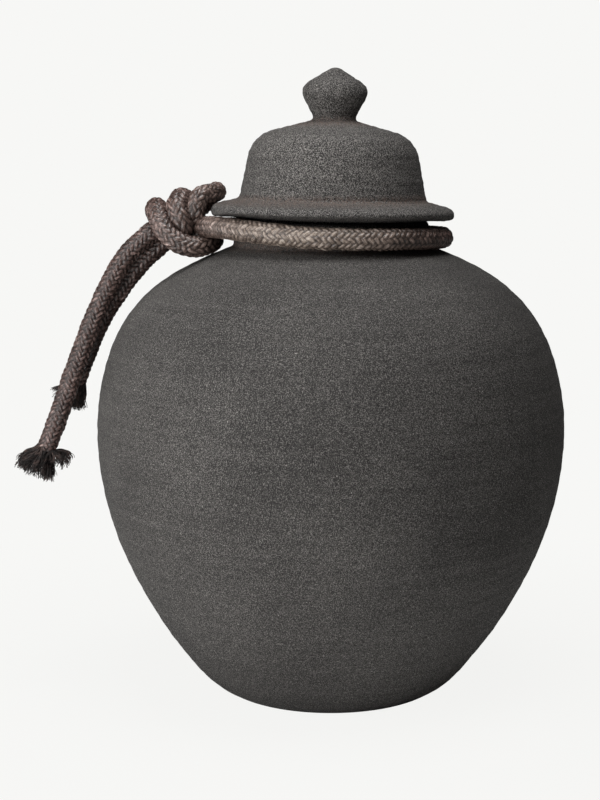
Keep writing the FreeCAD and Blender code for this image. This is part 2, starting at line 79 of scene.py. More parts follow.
camera_data = bpy.data.cameras.new("camera")
camera_data.lens = 77.32
camera_data.sensor_width = 36
camera_data.shift_x = -0.0385
camera = put("camera", camera_data, (0, -0.816, 0.2592), (0, 0, 0.1391))
bpy.context.scene.camera = camera
print(f"the camera looks down by {90 - math.degrees(camera.rotation_euler.x):.1f} degrees")

# %% [markdown]
# ## The line of the cord
# The cord is one length of rope. It starts at the end of the short tail, runs through the knot,
# goes once round the neck, returns to the knot and ends at the long tail. One smooth spline is
# the honest way to draw it, because a rope has no corners: the points below steer the line, and
# it bends between them. Those in the knot and the tails are measured from the middle of the two
# places where the cord enters the knot, and those round the neck from the urn's own axis. The
# strand from the back of the neck climbs past the lid's brim on the far side of the knot, leans
# in over the brim's edge and comes down in front. That makes the knot's right lobe.

# %% Points that steer the cord, in millimetres
KNOT_MIDDLE = (-59.928, 0.0, 221.618)

LONG_TAIL = [
    (-36.29, -4.7, -11.94),
    (-46.0, -4.9, -28.4),
    (-55.0, -4.6, -48.7),
    (-64.0, -3.6, -72.1),
    (-71.2, -3.5, -92.3),
    (-76.6, -4.6, -105.9),
]
FRONT_STRAND = [
    (-1.5, 1.0, -1.9),
    (-9.0, 9.5, -5.4),
    (-19.2, 13.0, -1.9),
    (-24.0, 7.5, 6.8),
    (-22.0, -2.0, 10.5),
    (-20.4, -12.0, 3.8),
    (-15.0, -15.5, -3.9),
    (-6.0, -15.5, -8.9),
    (2.0, -10.5, -7.7),
    (5.2, 0.5, -5.4),
    (1.0, 12.0, -7.5),
    (-4.0, 17.5, 0.4),
    (-8.4, 12.0, 10.8),
    (-10.6, 0.0, 14.9),
    (-12.8, -10.5, 9.9),
    (-8.6, -13.0, 0.8),
    (-10.5, -3.0, -3.9),
    (-21.5, -3.0, 0.3),
    (-30.2, -4.0, -6.9),
]
NECK = [
    (-59.93, -10.5, 223.1),
    (-33.11, -42.84, 221.3),
    (-11.44, -52.92, 219.3),
    (12.55, -52.67, 218.6),
    (34.0, -42.13, 218.3),
    (48.87, -23.31, 217.6),
    (54.14, 0.0, 217.0),
    (48.87, 23.31, 216.6),
    (34.0, 42.13, 216.6),
    (12.55, 52.67, 217.1),
    (-11.44, 52.92, 218.0),
    (-33.11, 42.84, 219.3),
    (-59.93, 10.5, 221.62),
]
BACK_STRAND = [
    (-4.6, 6.8, 1.4),
    (-6.0, 9.0, 5.6),
    (-3.4, 14.4, 8.6),
    (0.6, 16.8, 12.6),
    (4.1, 14.0, 16.6),
    (6.2, 6.4, 16.8),
    (4.0, -2.6, 15.8),
    (-1.6, -9.0, 15.6),
    (-3.2, -10.8, 8.6),
    (-5.6, -5.2, 2.6),
    (-11.0, 2.0, -1.0),
    (-16.0, 5.0, -4.0),
    (-24.0, 5.0, -10.9),
]
SHORT_TAIL = [
    (-29.95, 5.0, -16.15),
    (-41.2, 5.8, -29.7),
    (-50.8, 6.4, -44.9),
    (-57.9, 7.6, -60.7),
    (-63.3, 9.2, -74.7),
]


def from_knot(offsets):
    return [Vector(KNOT_MIDDLE) + Vector(offset) for offset in offsets]


front_way = from_knot(FRONT_STRAND)
back_way = from_knot(BACK_STRAND)
long_way = from_knot(LONG_TAIL)
short_way = from_knot(SHORT_TAIL)
neck_way = [Vector(point) for point in NECK]
steering = short_way[::-1] + back_way[::-1] + neck_way[::-1] + front_way + long_way
print(len(steering), "points steer the cord")

# %% [markdown]
# ## One spline, read back as points
# A NURBS curve of order three is drawn towards its points without passing through them, which is
# how a limp rope takes a bend. Blender can turn the bare curve into a mesh of short edges, and
# those give the line's true length. The points are then spaced evenly, because each of them gets
# one ring of the braid's mesh.

# %% The cord's line
curve = bpy.data.curves.new("cord_line", "CURVE")
curve.dimensions = "3D"
spline = curve.splines.new("NURBS")
spline.points.add(len(steering) - 1)
for point, place in zip(spline.points, steering):
    point.co = (*(place * MM), 1)
spline.order_u = 3
spline.use_endpoint_u = True
spline.resolution_u = 24
line_object = bpy.data.objects.new("cord_line", curve)
scene_collection.objects.link(line_object)
bpy.context.view_layer.update()
line_mesh = bpy.data.meshes.new_from_object(line_object)
line = np.array([vertex.co for vertex in line_mesh.vertices], float)
bpy.data.objects.remove(line_object)


def run_lengths(points):
    steps = np.linalg.norm(np.diff(points, axis=0), axis=1)
    return np.concatenate([[0], np.cumsum(steps)])


def space_evenly(points, step):
    """How far along the line each new point is, and the points."""
    along = run_lengths(points)
    marks = np.linspace(0, along[-1], round(along[-1] / step) + 1)
    return marks, np.stack([np.interp(marks, along, points[:, axis]) for axis in range(3)], 1)


RING_STEP = 0.36 * MM
marks, line = space_evenly(line, RING_STEP)
print(f"the whole cord is {marks[-1]:.3f} m long, read at {len(line)} points")

# %% [markdown]
# ## Where the knot begins and ends
# The CAD has the knot as one solid and the neck and tails as tubes. The line is cut at the same
# four places, so that each stretch of braid can stand for its own solid. Two of the places are
# the knot's ends of the tails. The other two are worked out as in the CAD, where the tube lies in
# a ring round the neck and leaves it in a straight run to the knot. All sizes are in millimetres.

# %% Cut places
NECK_RING = 52.8
ENTRY_DISTANCE = 60.0
ENTRY_SIDE = 10.5
KNOT_STUB = 12.0
JOINT_HEIGHT = 221.0


def mark_nearest(place):
    return int(np.argmin(np.linalg.norm(line - np.array(place) * MM, axis=1)))


def joint_beside(side):
    """Where the tube round the neck meets the knot, a stub's length before the cord's first bend.
    The side is -1 in front and 1 behind."""
    entry = Vector((-ENTRY_DISTANCE, side * ENTRY_SIDE, 0))
    leave_angle = math.atan2(ENTRY_SIDE, ENTRY_DISTANCE) + math.acos(NECK_RING / entry.length)
    leave = Vector((-math.cos(leave_angle), side * math.sin(leave_angle), 0)) * NECK_RING
    joint = entry - (entry - leave).normalized() * KNOT_STUB
    return (joint.x, joint.y, JOINT_HEIGHT)


cuts = [
    0,
    mark_nearest(back_way[-1]),
    mark_nearest(joint_beside(1)),
    mark_nearest(joint_beside(-1)),
    mark_nearest(front_way[-1]),
    len(line) - 1,
]
STRETCH_NAMES = ("short_tail", "back_strand", "neck", "front_strand", "long_tail")
STRETCHES = dict(zip(STRETCH_NAMES, zip(cuts, cuts[1:])))
for name, (first, last) in STRETCHES.items():
    print(f"{name}: {(marks[last] - marks[first]) * 1000:.1f} mm")

# %% [markdown]
# ## Frames that don't twist
# Each cross-section of the braid needs an "up" of its own. Carrying one direction along the line,
# and only tilting it as the line bends, adds no twist. A fixed "up" would spin where the cord
# stands upright.

# %% Carry one direction along the line
tangents = np.gradient(line, axis=0)
tangents /= np.linalg.norm(tangents, axis=1)[:, None]
across = np.cross(tangents[0], (0.0, 0.0, 1.0))
sides = [across / np.linalg.norm(across)]
for tangent in tangents[1:]:
    carried = sides[-1] - tangent * np.dot(sides[-1], tangent)
    sides.append(carried / np.linalg.norm(carried))
sides = np.array(sides)
ups = np.cross(tangents, sides)

bends = np.linalg.norm(np.gradient(tangents, axis=0), axis=1) / np.gradient(marks)
print(f"the tightest bend of the line has a radius of {1000 / bends.max():.1f} mm")

# %% [markdown]
# ## The braid
# A round braid has two sets of strands that wind opposite ways. Each strand passes over two of
# the other set and then under two, so it shows as slanting pads, and the pads stand in columns
# that lean left and right by turns, like a plait. Two slanting counts, one for each set, give
# every spot on the rope its place in the weave. This is real geometry, because the pads show in
# the rope's outline. Beside the knot the braid is pushed together, so its pads are shorter there.

# %% How far the braid has wound at each point
STRANDS = 10
BRAID_RUN = 2.8 * MM
PUSHED_RUN = 2.1 * MM
PUSHED_REACH = 16 * MM

pushed = np.zeros(len(line))
for joint in cuts[2:4]:
    pushed += np.exp(-(((marks - marks[joint]) / PUSHED_REACH) ** 2))
run_here = BRAID_RUN + (PUSHED_RUN - BRAID_RUN) * np.minimum(pushed, 1)
winding = np.concatenate([[0], np.cumsum(np.diff(marks) / run_here[1:])])
print(f"the braid moves on by one strand {winding[-1]:.0f} times along the cord")

# %% The height of the braid
TURN_START = 0.04


def braid_counts(turn, wound):
    """Which strand of each set passes here. turn runs from 0 to 1 round the rope."""
    turned = STRANDS * (turn + TURN_START)
    return turned - wound, turned + wound


def braid_height(turn, wound):
    """From 0 in the deepest groove to 1 on the crown of a pad."""
    left, right = braid_counts(turn, wound)
    left_cell, right_cell = np.floor(left + 0.5), np.floor(right + 0.5)
    left_off, right_off = left - left_cell, right - right_cell
    step = (left_cell + right_cell) % 4
    crosswise = np.where(step < 2, left_off, right_off)
    lengthwise = (np.where(step < 2, right_off, left_off) - 0.5 + step % 2) / 2
    crown = (1 - np.abs(2 * crosswise) ** 2.4) * (1 - np.abs(2 * lengthwise) ** 3)
    return 0.1 * (1 - np.abs(2 * crosswise)) + 0.9 * np.sqrt(crown)


grid = np.meshgrid(np.linspace(0, 1, 200), np.linspace(0, 4, 200))
print(f"the braid's height is on average {braid_height(*grid).mean():.2f}")

# %% [markdown]
# ## No two pads alike
# The strands of a real braid aren't all pulled alike, so no pad is quite like the next. A few
# slow waves that run along the rope and round it, added up, give a waver that never repeats and
# has no seam. One such waver shifts the pads along the rope, a second shifts them round it, and a
# third makes the rope a little thicker and thinner.

# %% A slow waver
WAVE_HEIGHT = 0.03


def drift(turn, wound, seed):
    """A sum of fifteen waves, each of them whole round the rope. It seldom passes 0.15."""
    rng = np.random.default_rng(seed)
    total = 0 * (turn + wound)
    for rounds in (0, 1, 2, 3, 4):
        for _ in range(3):
            pace, start = rng.uniform(0.5, 2.6), rng.uniform(0, 2 * np.pi)
            wave = np.sin(2 * np.pi * rounds * turn + pace * wound + start)
            total = total + WAVE_HEIGHT * wave
    return total


print(f"the braid's waver has a spread of {drift(*grid, 1).std():.2f}")

# %% [markdown]
# ## Skins
# The urn, the lid and each stretch of the cord are runs of rings joined by four-sided faces, so
# one helper makes them all. The ends are closed with rings of their own, because a cap that
# shared the last ring would bend the shading there.

# %% A mesh from rings


def ring_faces(many, around):
    """The four-sided faces between each ring and the next."""
    row = np.arange(many - 1)[:, None] * around
    column = np.arange(around)[None, :]
    following = (column + 1) % around
    corners = [row + column, row + following, row + around + following, row + around + column]
    return np.stack(corners, -1).reshape(-1, 4).tolist()


def skin(name, rings, counts=None):
    """A closed mesh from rings of points, with the braid's counts as its texture coordinates."""
    many, around, _ = rings.shape
    points = np.concatenate([rings.reshape(-1, 3), rings[0], rings[-1]])
    base = many * around
    faces = ring_faces(many, around)
    faces.append(list(range(base + around - 1, base - 1, -1)))
    faces.append(list(range(base + around, base + 2 * around)))
    mesh = bpy.data.meshes.new(name)
    mesh.from_pydata(points.tolist(), [], faces)
    if counts is not None:
        wide = np.stack(counts, -1)
        corner_uv = [wide[:-1, :-1], wide[:-1, 1:], wide[1:, 1:], wide[1:, :-1]]
        flat = np.stack(corner_uv, 2).reshape(-1, 2)
        flat = np.concatenate([flat, np.zeros((2 * around, 2))])
        layer = mesh.uv_layers.new(name="strands")
        layer.data.foreach_set("uv", flat.astype(np.float32).ravel())
    mesh.shade_smooth()
    mesh.update()
    piece = bpy.data.objects.new(name, mesh)
    scene_collection.objects.link(piece)
    print(f"{name}: {len(mesh.polygons)} faces")
    return piece


# %% [markdown]
# ## The cord's five stretches
# The rope isn't equally thick all along. Round the neck the photograph has it a little thicker
# than in the tails. The knot's front strand is thicker still, because a braid that is bent hard
# shortens and swells. The back one is a little thinner, where the lid's brim squeezes it. The
# changes are spread over six millimetres each way, so that no step shows.

# %% How thick the cord is at each point
ROPE_RADIUS = 4.8 * MM
RADIUS_OF = {"neck": 5.05 * MM, "front_strand": 5.1 * MM, "back_strand": 4.7 * MM}
SPREAD = 6 * MM

radii = np.full(len(line), ROPE_RADIUS)
for name, radius in RADIUS_OF.items():
    radii[slice(*STRETCHES[name])] = radius
half_window = round(SPREAD / RING_STEP)
window = np.ones(2 * half_window + 1) / (2 * half_window + 1)
radii = np.convolve(np.pad(radii, half_window, "edge"), window, "valid")
print(f"the cord is {2000 * radii.min():.1f} to {2000 * radii.max():.1f} mm thick")

# %% Make the cord
PAD_DEPTH = 0.8 * MM
SWELL = 1.1 * MM
AROUND = 84


def cord_rings(first, last):
    """The rings of one stretch, and the braid's counts on them, with the waver in both."""
    turn = np.linspace(0, 1, AROUND + 1)[None, :]
    wound = winding[first : last + 1, None]
    pulled = wound + drift(turn, wound, 1)
    shifted = turn + drift(turn, wound, 2) / STRANDS
    height = braid_height(shifted, pulled)
    swell = SWELL * drift(turn, wound, 3)
    radius = radii[first : last + 1, None] + swell - PAD_DEPTH * (1 - height)
    angle = 2 * np.pi * turn
    out = np.cos(angle)[..., None] * sides[first : last + 1, None]
    out = out + np.sin(angle)[..., None] * ups[first : last + 1, None]
    rings = line[first : last + 1, None] + out * radius[..., None]
    return rings[:, :-1], braid_counts(shifted, pulled)


def braid(name, stretch):
    rings, counts = cord_rings(*STRETCHES[stretch])
    return skin(name, rings, counts)


def join(name, pieces):
    """Several meshes as the parts of one."""
    with bpy.context.temp_override(
        active_object=pieces[0], object=pieces[0], selected_editable_objects=pieces
    ):
        bpy.ops.object.join()
    pieces[0].name = name
    return pieces[0]


neck_cord = braid("neck_cord", "neck")
long_tail_cord = braid("long_tail_cord", "long_tail")
short_tail_cord = braid("short_tail_cord", "short_tail")
knot_strands = [braid("knot_cord", "front_strand"), braid("back_strand", "back_strand")]
knot_cord = join("knot_cord", knot_strands)

# %% [markdown]
# ## The frayed ends
# Nothing binds the cut ends, so the strands have sprung open into a brush. A brush is a bundle
# of yarns, and each yarn is a bundle of fine threads that stay together at the root and part at
# the tip. Thin three-sided tubes are enough at this size, and there are about 1,500 of them.

# %% One thread
THIRDS_OF_A_TURN = (0, 2.094, 4.189)
TIP_SHARE = 0.55
ASLANT = np.array([0.31, 0.52, 0.79])


def thread(points, thickness):
    """A thin three-sided tube along a few points, which tapers to a share of its thickness."""
    points = np.array(points)
    directions = np.gradient(points, axis=0)
    directions /= np.linalg.norm(directions, axis=1)[:, None]
    first_side = np.cross(directions, ASLANT)
    first_side /= np.linalg.norm(first_side, axis=1)[:, None]
    second_side = np.cross(directions, first_side)
    taper = np.linspace(1, TIP_SHARE, len(points))[:, None] * thickness / 2
    corners = [
        points + taper * (math.cos(angle) * first_side + math.sin(angle) * second_side)
        for angle in THIRDS_OF_A_TURN
    ]
    last = 3 * (len(points) - 1)
    faces = ring_faces(len(points), 3) + [[2, 1, 0], [last, last + 1, last + 2]]
    return np.stack(corners, 1).reshape(-1, 3), faces


# %% A brush of threads
THREAD_STEPS = 13
ROOT_DEPTH = 1.5 * MM


def brush(name, end, direction, yarns, threads, thickness, seed):
    """Threads that spring from the cut end. Each yarn gives its angle round the rope, how far it
    opens, how long it is and how much it curls. Every thread gets a little chance in all four,
    and two waves that grow toward its tip."""
    rng = np.random.default_rng(seed)
    along = Vector(direction).normalized()
    first = along.cross(Vector((0, -1, 0))).normalized()
    second = along.cross(first)
    all_points, all_faces = [], []
    count = 0
    for degrees, opening, length, curl in yarns:
        angle = math.radians(degrees)
        outward = first * math.cos(angle) + second * math.sin(angle)
        sideways = along.cross(outward)
        for _ in range(threads):
            root_radius = rng.uniform(0.15, 0.92) * ROPE_RADIUS
            swing = rng.normal(0, 0.08)
            reach_out = opening * rng.uniform(0.88, 1.12)
            long = length * rng.uniform(0.84, 1.03) * MM
            twist = curl + rng.normal(0, 0.15)
            place = Vector(end) - along * ROOT_DEPTH + outward * root_radius
            place += sideways * rng.normal(0, 0.9) * MM
            path = [tuple(place)]
            waves = rng.uniform(0, 2 * math.pi, 2)
            for part in np.linspace(0.08, 1, THREAD_STEPS):
                bend = reach_out * part**0.5 + twist * part**2
                heading = along * math.cos(bend) + outward * math.sin(bend)
                heading += sideways * (swing + 0.35 * math.sin(5 * part + angle * 3))
                heading += sideways * 0.4 * part * math.sin(10 * part + waves[0])
                heading += outward * 0.4 * part * math.sin(11 * part + waves[1])
                place = place + heading.normalized() * long / THREAD_STEPS
                path.append(tuple(place))
            ring_points, faces = thread(path, thickness * rng.uniform(0.8, 1.25))
            all_points.append(ring_points)
            all_faces += [[index + count for index in face] for face in faces]
            count += len(ring_points)
    mesh = bpy.data.meshes.new(name)
    mesh.from_pydata(np.concatenate(all_points).tolist(), [], all_faces)
    mesh.shade_smooth()
    piece = bpy.data.objects.new(name, mesh)
    scene_collection.objects.link(piece)
    print(f"{name}: {len(mesh.polygons)} faces in {len(yarns) * threads} threads")
    return piece


# %% [markdown]
# ## Two ways to fray
# The long end has opened into a ball on its left, a few straight yarns below, and a thick curl
# that turns back up on its right. The short end is hardly open, but a few yarns of it stick out
# on the left, behind the long tail. Each row below is one yarn: its angle round the rope in
# degrees with 0 on the left, how far it opens in radians, its length in millimetres, and how much
# it curls in radians.

# %% Two brushes
LONG_YARNS = [
    (-70, 1.1, 12.5, -0.9),
    (-45, 1.35, 13.5, -1.1),
    (-20, 1.5, 13.5, -1.3),
    (0, 1.5, 14.0, -1.4),
    (15, 1.35, 13.5, -1.2),
    (30, 1.5, 13.5, -1.3),
    (50, 1.35, 13.5, -1.1),
    (75, 1.1, 12.5, -0.9),
    (-30, 1.0, 16.0, -0.7),
    (-5, 0.95, 16.5, -0.6),
    (15, 0.8, 16.5, -0.5),
    (35, 0.8, 16.0, -0.5),
    (-60, 0.5, 16.0, -0.2),
    (60, 0.5, 16.0, -0.2),
    (0, 0.4, 16.5, 0.0),
    (100, 0.3, 16.5, 0.0),
    (-110, 0.3, 16.0, 0.0),
    (150, 0.3, 17.0, 0.05),
    (-160, 0.4, 16.5, 0.0),
    (175, 0.45, 15.5, 0.0),
    (150, 3.3, 10.5, -3.0),
    (170, 3.6, 11.5, -3.2),
    (190, 3.5, 11.0, -2.8),
    (215, 3.2, 10.0, -3.4),
    (180, 2.6, 12.0, -2.6),
]
SHORT_YARNS = [
    (180, 0.0, 16.0, 0.0),
    (155, 0.0, 15.5, 0.0),
    (-155, 0.0, 16.0, 0.0),
    (130, 0.03, 15.5, 0.0),
    (-130, 0.03, 15.5, 0.0),
    (90, 0.06, 15.5, 0.0),
    (-90, 0.06, 15.0, 0.0),
    (60, 0.1, 15.5, 0.0),
    (-60, 0.1, 15.0, 0.0),
    (30, 0.2, 15.0, 0.1),
    (-30, 0.2, 14.5, 0.1),
    (0, 0.35, 14.0, 0.1),
    (-12, 1.2, 11.0, 0.0),
    (12, 1.2, 11.0, -0.2),
    (0, 0.8, 13.0, 0.0),
    (-15, 0.75, 13.5, 0.1),
]
THREAD = 0.5 * MM
NEARLY_DOWN = (-0.1, 0.1, -1.0)

long_way_out = line[-1] - line[-8]
long_brush = brush("long_tail_brush", line[-1], long_way_out, LONG_YARNS, 36, THREAD, 11)
short_brush = brush("short_tail_brush", line[0], NEARLY_DOWN, SHORT_YARNS, 38, THREAD, 12)

# %% [markdown]
# ## Turning the clay again
# The CAD's urn and lid are exact and smooth. A thrown pot is neither: the fingers leave faint
# rings, and the wall wavers by a hair. Cutting the CAD mesh with a plane through its axis gives
# its outline, and turning that outline again, point by point, lets each ring rise and fall. The
# lid leans a little, so it is first set upright on its own axis. An outline starts and ends a
# hair's breadth from the axis, where the turned mesh is closed.

# %% Read an outline from a CAD mesh
AXIS_GAP = 0.1 * MM


def outline_of(node, to_own_axes):
    """The right half of the node's section through its axis, as (radius, height) in order."""
    section = bmesh.new()
    section.from_mesh(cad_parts[node].data)
    bmesh.ops.transform(section, matrix=to_own_axes, verts=section.verts)
    bmesh.ops.remove_doubles(section, verts=section.verts, dist=1e-6)
    bmesh.ops.bisect_plane(
        section,
        geom=section.verts[:] + section.edges[:] + section.faces[:],
        plane_co=(0, 0, 0),
        plane_no=(0, 1, 0),
        dist=1e-7,
        clear_inner=True,
        clear_outer=True,
    )
    bmesh.ops.remove_doubles(section, verts=section.verts, dist=2e-6)
    links = {}
    for edge in section.edges:
        one, two = edge.verts
        if one.co.x > -1e-6 and two.co.x > -1e-6:
            links.setdefault(one, []).append(two)
            links.setdefault(two, []).append(one)
    ends = sorted((vert for vert in links if len(links[vert]) == 1), key=lambda vert: vert.co.z)
    here, before, found = ends[0], None, []
    while here is not None:
        found.append((here.co.x, here.co.z))
        ahead = [vert for vert in links[here] if vert is not before]
        here, before = (ahead[0] if ahead else None), here
    section.free()
    found = np.array([(x, z) for x, z in found if x > AXIS_GAP])
    start, stop = (AXIS_GAP, found[0][1]), (AXIS_GAP, found[-1][1])
    print(f"{node}: an outline of {len(found)} points")
    return np.vstack([start, found, stop])


# %% [markdown]
# ## Where the lid sits
# The lid's own heights are counted from the flat underside of its brim. The knob's tip is rounded
# like a small ball, so the highest point of the leaning lid gives the height of that underside.

# %% The lid's place in the CAD, and both outlines
LID_LEAN = math.radians(1.6)
LID_SHIFT = 0.5 * MM
TIP_ROUND = 5.5
TIP_BALL_HEIGHT = 64.3


def seated(shift, height, lean):
    """A place for the lid: moved to the right and up, and leaning to the right."""
    return Matrix.Translation((shift, 0, height)) @ Matrix.Rotation(lean, 4, "Y")


lid_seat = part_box("lid")[1].z - (TIP_ROUND + TIP_BALL_HEIGHT * math.cos(LID_LEAN)) * MM
urn_outline = outline_of("urn_body", Matrix.Identity(4))
lid_outline = outline_of("lid", seated(LID_SHIFT, lid_seat, LID_LEAN).inverted())
print(f"the brim's underside is at {lid_seat * 1000:.2f} mm")
print(f"the knob's tip is {lid_outline[-1][1] * 1000:.2f} mm above it")

# %% [markdown]
# ## Curves between the points
# The CAD mesh has few points on its outline. A curve in short steps from each point to the next
# keeps the outline round. At each point the curve takes a direction between those on its two
# sides, so no bend shows there, and only a place that turns sharply stays a corner. The steps are
# short where the outline climbs on the outside, and longer where it goes down inside, which is
# hardly seen.

# %% Smooth the outline between its points
COSINE_OF_SHARP_TURN = 0.85


def finer(outline, step_up, step_down):
    """The outline in curved steps, with one length where it climbs and one where it goes down."""
    steps = np.diff(outline, axis=0)
    lengths = np.linalg.norm(steps, axis=1)
    headings = steps / lengths[:, None]
    tangent = np.vstack([headings[:1], headings])
    tangent[1:-1] = headings[:-1] * lengths[1:, None] + headings[1:] * lengths[:-1, None]
    tangent /= np.linalg.norm(tangent, axis=1)[:, None]
    turns = np.einsum("ij,ij->i", headings[:-1], headings[1:])
    corner = np.concatenate([[True], turns < COSINE_OF_SHARP_TURN, [True]])
    result = [outline[0]]
    for index, (length, heading) in enumerate(zip(lengths, headings)):
        leave = heading if corner[index] else tangent[index]
        arrive = heading if corner[index + 1] else tangent[index + 1]
        wanted = step_up if heading[1] > -0.001 else step_down
        for part in np.linspace(0, 1, max(1, math.ceil(length / wanted)) + 1)[1:]:
            blend = 3 * part**2 - 2 * part**3
            push = part * (1 - part) ** 2 * length
            pull = part**2 * (part - 1) * length
            place = outline[index] * (1 - blend) + outline[index + 1] * blend
            result.append(place + leave * push + arrive * pull)
    return np.array(result)


urn_outline = finer(urn_outline, 1.5 * MM, 4 * MM)
lid_outline = finer(lid_outline, 1.0 * MM, 3 * MM)
print("points in the finer outlines:", len(urn_outline), len(lid_outline))

# %% [markdown]
# ## The potter's marks
# The fingers climb the wall while the wheel turns, so their marks are shallow spirals and not
# closed rings. Several spirals of different pitch, each a few hundredths of a millimetre deep,
# beat against each other as real ones do. Two slow noises make the wall waver by up to a few
# tenths of a millimetre, and a quick one gives the drag marks of coarse grains. Nothing changes
# under the foot, where the urn stands, or at the axis, where the rings would pinch.

# %% Turn a wall
WAVERS = ((0.3, 22), (0.12, 70))
DRAG = (0.05, 420)
BEND_OF_MARKS = (3, 14)
FULL_ABOVE = 6 * MM
FULL_BEYOND = 8 * MM


def noise_at(spot, height, scale):
    """Noise up to about a height, in millimetres or radians, with so many waves to a metre."""
    return height * noise.noise(spot * scale)


def turned(name, outline, around, spirals, level_from):
    """The outline turned about its axis, with spiral marks of (pitch, depth) in millimetres. They
    start at one height and reach their full depth over the next few millimetres."""
    heading = np.gradient(outline, axis=0)
    heading /= np.linalg.norm(heading, axis=1)[:, None]
    along = run_lengths(outline)
    rings = np.zeros((len(outline), around, 3))
    angles = 2 * np.pi * np.arange(around) / around
    round_trip = [(math.cos(angle), math.sin(angle)) for angle in angles]
    for row, ((radius, height), (out, up), run) in enumerate(zip(outline, heading, along)):
        calm = min(1.0, max(0.0, (height - level_from) / FULL_ABOVE))
        calm *= min(1.0, radius / FULL_BEYOND)
        depth = np.zeros(around)
        for column, (cosine, sine) in enumerate(round_trip):
            spot = Vector((radius * cosine, radius * sine, height))
            depth[column] = sum(noise_at(spot, *waver) for waver in WAVERS)
            depth[column] += noise_at(spot, *DRAG)
            phase = noise_at(spot, *BEND_OF_MARKS)
            for order, (pitch, deep) in enumerate(spirals, 1):
                wave = 2 * math.pi * run / (pitch * MM) - order * angles[column] + phase * order
                depth[column] += deep * math.sin(wave)
        depth *= calm * MM
        reach = radius + depth * up
        rings[row, :, 0] = reach * np.cos(angles)
        rings[row, :, 1] = reach * np.sin(angles)
        rings[row, :, 2] = height - depth * out
    return skin(name, rings)


# %% Turn the urn and the lid
URN_SPIRALS = [(3.1, 0.02), (5.3, 0.035), (8.7, 0.05), (13.0, 0.05)]
LID_SPIRALS = [(2.3, 0.04), (3.7, 0.06), (5.9, 0.08)]

urn_clay = turned("urn_clay", urn_outline, 230, URN_SPIRALS, 0.0)
lid_clay = turned("lid_clay", lid_outline, 240, LID_SPIRALS, -20 * MM)

# %% [markdown]
# ## The brim's front is trimmed
# Seen from the front the brim's lower edge runs higher than its two ends, which are blunt and
# thick. Perhaps it was trimmed there, so that fingers can lift the lid, or it rose in drying. Here
# the underside is raised by up to two millimetres in front, and by nothing at the sides and
# behind. Then the lid takes its place. It leans a little less than the solid lid and sits lower by
# a fifth of a millimetre, which fits the photograph better.

# %% Trim the brim
TRIM = 2.0 * MM
TRIM_FROM, TRIM_FULL = 47 * MM, 54 * MM
BRIM_LOW, BRIM_HIGH = -0.5 * MM, 4.5 * MM
FRONT_FROM, FRONT_FULL = 0.15, 0.7


def read_places(piece):
    places = np.zeros(3 * len(piece.data.vertices))
    piece.data.vertices.foreach_get("co", places)
    return places.reshape(-1, 3)


places = read_places(lid_clay)
from_axis = np.hypot(places[:, 0], places[:, 1])
beyond_rim = np.clip((from_axis - TRIM_FROM) / (TRIM_FULL - TRIM_FROM), 0, 1)
near_seat = np.clip(1 - places[:, 2] / BRIM_HIGH, 0, 1) * (places[:, 2] > BRIM_LOW)
facing_front = -places[:, 1] / np.maximum(from_axis, MM)
in_front = np.clip((facing_front - FRONT_FROM) / (FRONT_FULL - FRONT_FROM), 0, 1)
in_front = in_front**2 * (3 - 2 * in_front)
raised = TRIM * beyond_rim * near_seat * in_front
places[:, 2] += raised
lid_clay.data.vertices.foreach_set("co", places.ravel())
print(f"the brim is trimmed by up to {1000 * raised.max():.1f} mm")

# %% Seat the lid
SETTLED_SHIFT = 0.8 * MM
SETTLED_BY = 0.22 * MM
SETTLED_LEAN = LID_LEAN * 0.75

lid_clay.data.transform(seated(SETTLED_SHIFT, lid_seat - SETTLED_BY, SETTLED_LEAN))
lid_clay.data.update()
print(f"the lid leans by {math.degrees(SETTLED_LEAN):.1f} degrees")

# %% [markdown]
# ## A small language for shaders
# A node tree for a sum like "two minus a mask" is hard to read, and the sum isn't. A socket in a
# small class of its own can carry the signs of arithmetic, and each sign then adds its node. Any
# other node comes from one method, which sets what the node is first and its sockets after that.
# The same class serves a material and the world, since both are trees of nodes.

# %% Sockets that can be added and multiplied


class Wire:
    """One output socket, with plus, minus, times and power."""

    def __init__(self, finish, socket):
        self.finish = finish
        self.socket = socket

    def math(self, operation, *others):
        sockets = dict(enumerate((self, *others)))
        return self.finish.add("Math", {"operation": operation}, sockets)

    def __add__(self, other):
        return self.math("ADD", other)

    __radd__ = __add__

    def __sub__(self, other):
        return self.math("SUBTRACT", other)

    def __rsub__(self, other):
        return (self * -1) + other

    def __mul__(self, other):
        return self.math("MULTIPLY", other)

    __rmul__ = __mul__

    def __pow__(self, other):
        return self.math("POWER", other)


# %% A tree of nodes


